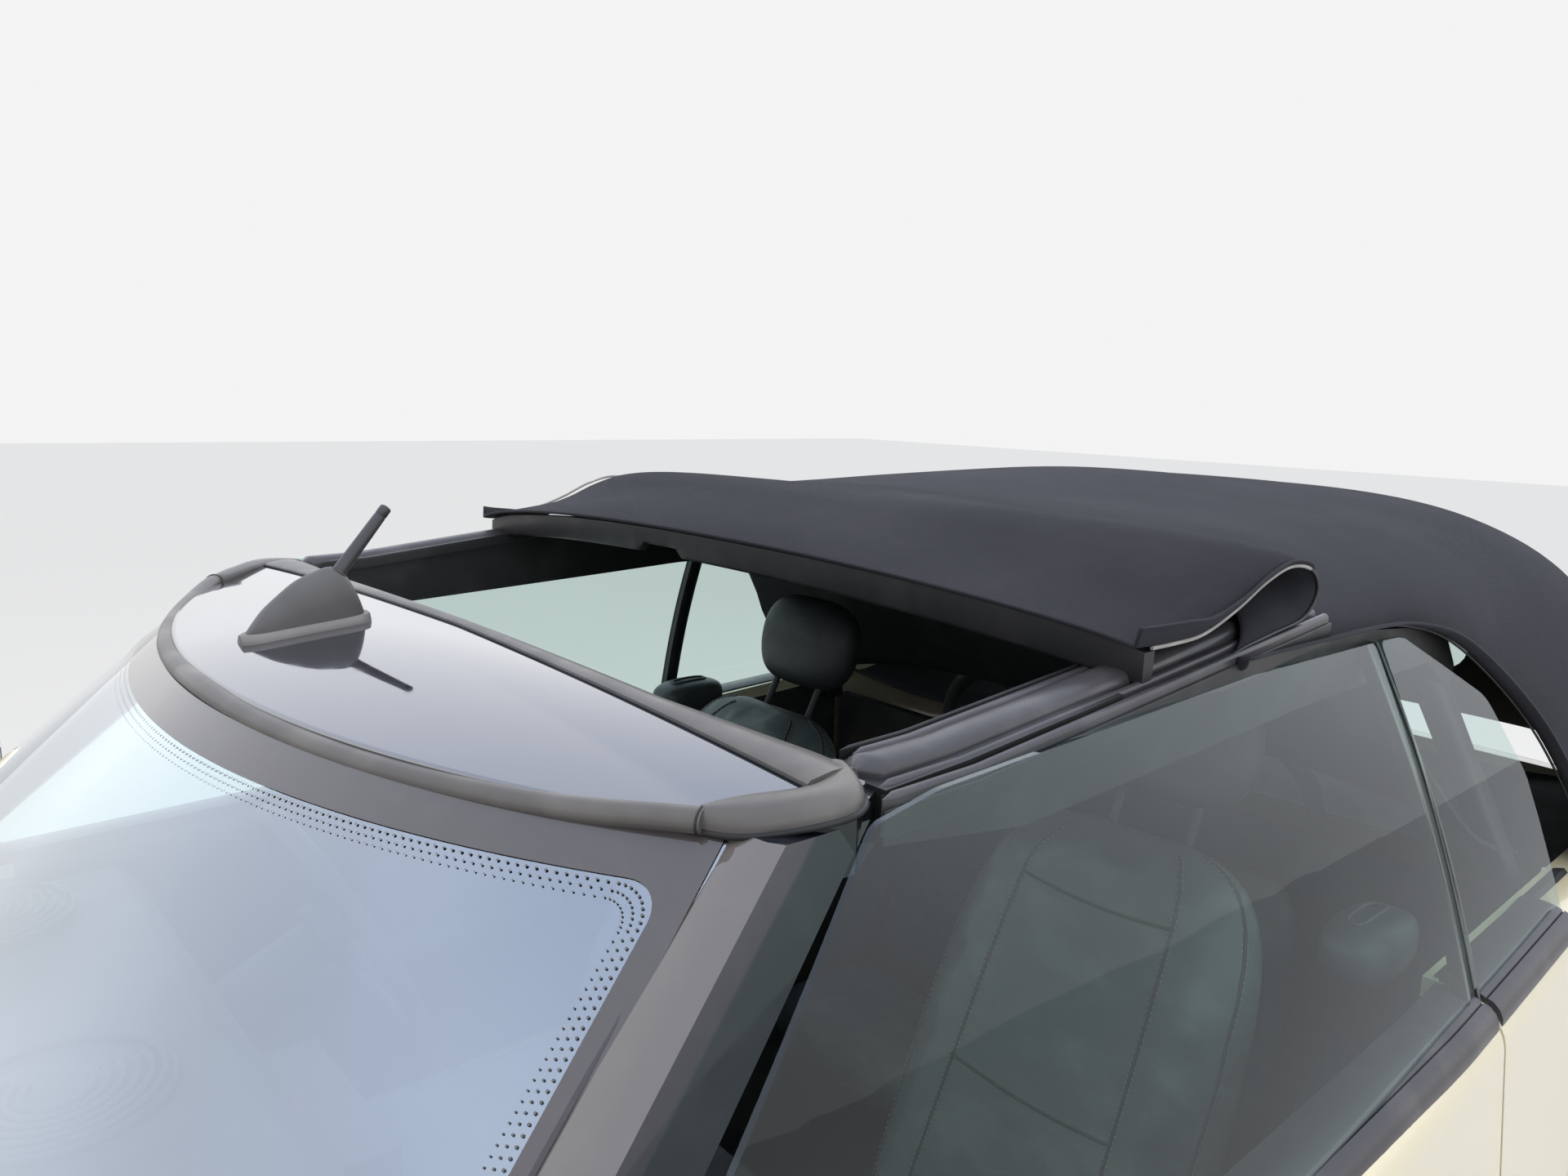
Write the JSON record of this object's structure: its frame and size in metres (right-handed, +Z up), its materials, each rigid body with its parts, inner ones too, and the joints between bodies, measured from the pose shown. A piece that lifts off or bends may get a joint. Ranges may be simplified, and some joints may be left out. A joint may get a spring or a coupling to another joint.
{
  "type": "convertible car",
  "caption": "Small four-seat convertible car with its cloth roof slid back above the front seats, on working wheels, steering, doors, bonnet and boot lid.",
  "frame": {"origin": "on the ground under the middle of the car's length and width", "axes": "+X forward, +Y to the car's left, +Z up"},
  "size_m": [3.7019, 1.912, 1.4655],
  "materials": {
    "paint": "gloss",
    "black_plastic": "satin",
    "header_gloss": "gloss",
    "window_glass": "clear",
    "lamp_clear": "clear",
    "lamp_red": "gloss",
    "roof_cloth": "woven",
    "seal_rubber": "satin",
    "seat_leather": "grained",
    "trim_plastic": "grained",
    "floor_metal": "satin",
    "engine_metal": "cast",
    "exhaust_steel": "brushed",
    "tyre_rubber": "matte",
    "alloy": "satin"
  },
  "bodies": {
    "body": {"antenna": "header_gloss", "arch_trims": "black_plastic", "centre_console": "trim_plastic", "cowl_panel": "black_plastic", "dashboard": "trim_plastic", "engine_block": "engine_metal", "exhaust": "exhaust_steel", "floor_pan": "floor_metal", "front_bumper": "paint", "front_frame": "floor_metal", "front_subframe": "floor_metal", "front_wings": "paint", "grille": "black_plastic", "header_cover": "header_gloss", "headlamps": "lamp_clear", "quarter_glass": "window_glass", "radiator": "engine_metal", "rear_axle": "floor_metal", "rear_bumper": "paint", "rear_quarters": "paint", "rear_seat": "seat_leather", "rear_window": "window_glass", "roll_hoops": "exhaust_steel", "roof_rails": "seal_rubber", "seat_front_left": "seat_leather", "seat_front_right": "seat_leather", "sill_trims": "black_plastic", "soft_top_bow": "roof_cloth", "soft_top_canopy": "roof_cloth", "tail_lamps": "lamp_red", "wheel_liners": "black_plastic", "windscreen": "window_glass", "windscreen_frame": "header_gloss"},
    "door_left": {"door_left": "paint", "door_glass_left": "window_glass", "mirror_left": "paint"},
    "door_right": {"door_right": "paint", "door_glass_right": "window_glass", "mirror_right": "paint"},
    "bonnet": {"bonnet": "paint"},
    "boot_lid": {"boot_lid": "paint"},
    "steering_wheel": {"steering_wheel": "trim_plastic"},
    "knuckle_left": {"knuckle_left": "floor_metal"},
    "knuckle_right": {"knuckle_right": "floor_metal"},
    "wheel_front_left": {"tyre_front_left": "tyre_rubber", "rim_front_left": "alloy"},
    "wheel_front_right": {"tyre_front_right": "tyre_rubber", "rim_front_right": "alloy"},
    "wheel_rear_left": {"tyre_rear_left": "tyre_rubber", "rim_rear_left": "alloy"},
    "wheel_rear_right": {"tyre_rear_right": "tyre_rubber", "rim_rear_right": "alloy"}
  },
  "joints": [
    {"name": "door_left_hinge", "type": "hinge", "parent": "body", "child": "door_left", "pos_m": [0.535, 0.77, 0.6], "axis": [0, 0, -1], "range_deg": [0, 65]},
    {"name": "door_right_hinge", "type": "hinge", "parent": "body", "child": "door_right", "pos_m": [0.535, -0.77, 0.6], "axis": [0, 0, 1], "range_deg": [0, 65]},
    {"name": "bonnet_hinge", "type": "hinge", "parent": "body", "child": "bonnet", "pos_m": [0.69, 0, 0.926], "axis": [0, -1, 0], "range_deg": [0, 50]},
    {"name": "boot_lid_hinge", "type": "hinge", "parent": "body", "child": "boot_lid", "pos_m": [-1.81, 0, 0.608], "axis": [0, -1, 0], "range_deg": [0, 85]},
    {"name": "steer_left", "type": "hinge", "parent": "body", "child": "knuckle_left", "pos_m": [1.17, 0.655, 0.195], "axis": [0, -0.2178, 0.976], "range_deg": [-33, 33]},
    {"name": "steer_right", "type": "hinge", "parent": "body", "child": "knuckle_right", "pos_m": [1.17, -0.655, 0.195], "axis": [0, 0.2178, 0.976], "range_deg": [-33, 33]},
    {"name": "steering_wheel_turn", "type": "hinge", "parent": "body", "child": "steering_wheel", "pos_m": [0.33, -0.36, 0.77], "axis": [-0.9062, 0, 0.4229], "range_deg": [-450, 450]},
    {"name": "wheel_front_left_spin", "type": "hinge", "parent": "knuckle_left", "child": "wheel_front_left", "pos_m": [1.17, 0.7295, 0.308], "axis": [0, 1, 0], "continuous": true},
    {"name": "wheel_front_right_spin", "type": "hinge", "parent": "knuckle_right", "child": "wheel_front_right", "pos_m": [1.17, -0.7295, 0.308], "axis": [0, 1, 0], "continuous": true},
    {"name": "wheel_rear_left_spin", "type": "hinge", "parent": "body", "child": "wheel_rear_left", "pos_m": [-1.297, 0.7335, 0.308], "axis": [0, 1, 0], "continuous": true},
    {"name": "wheel_rear_right_spin", "type": "hinge", "parent": "body", "child": "wheel_rear_right", "pos_m": [-1.297, -0.7335, 0.308], "axis": [0, 1, 0], "continuous": true}
  ],
  "couplings": [
    {"joint": "steer_right", "follows": "steer_left", "ratio": 1},
    {"joint": "steering_wheel_turn", "follows": "steer_left", "ratio": 13.6}
  ]
}
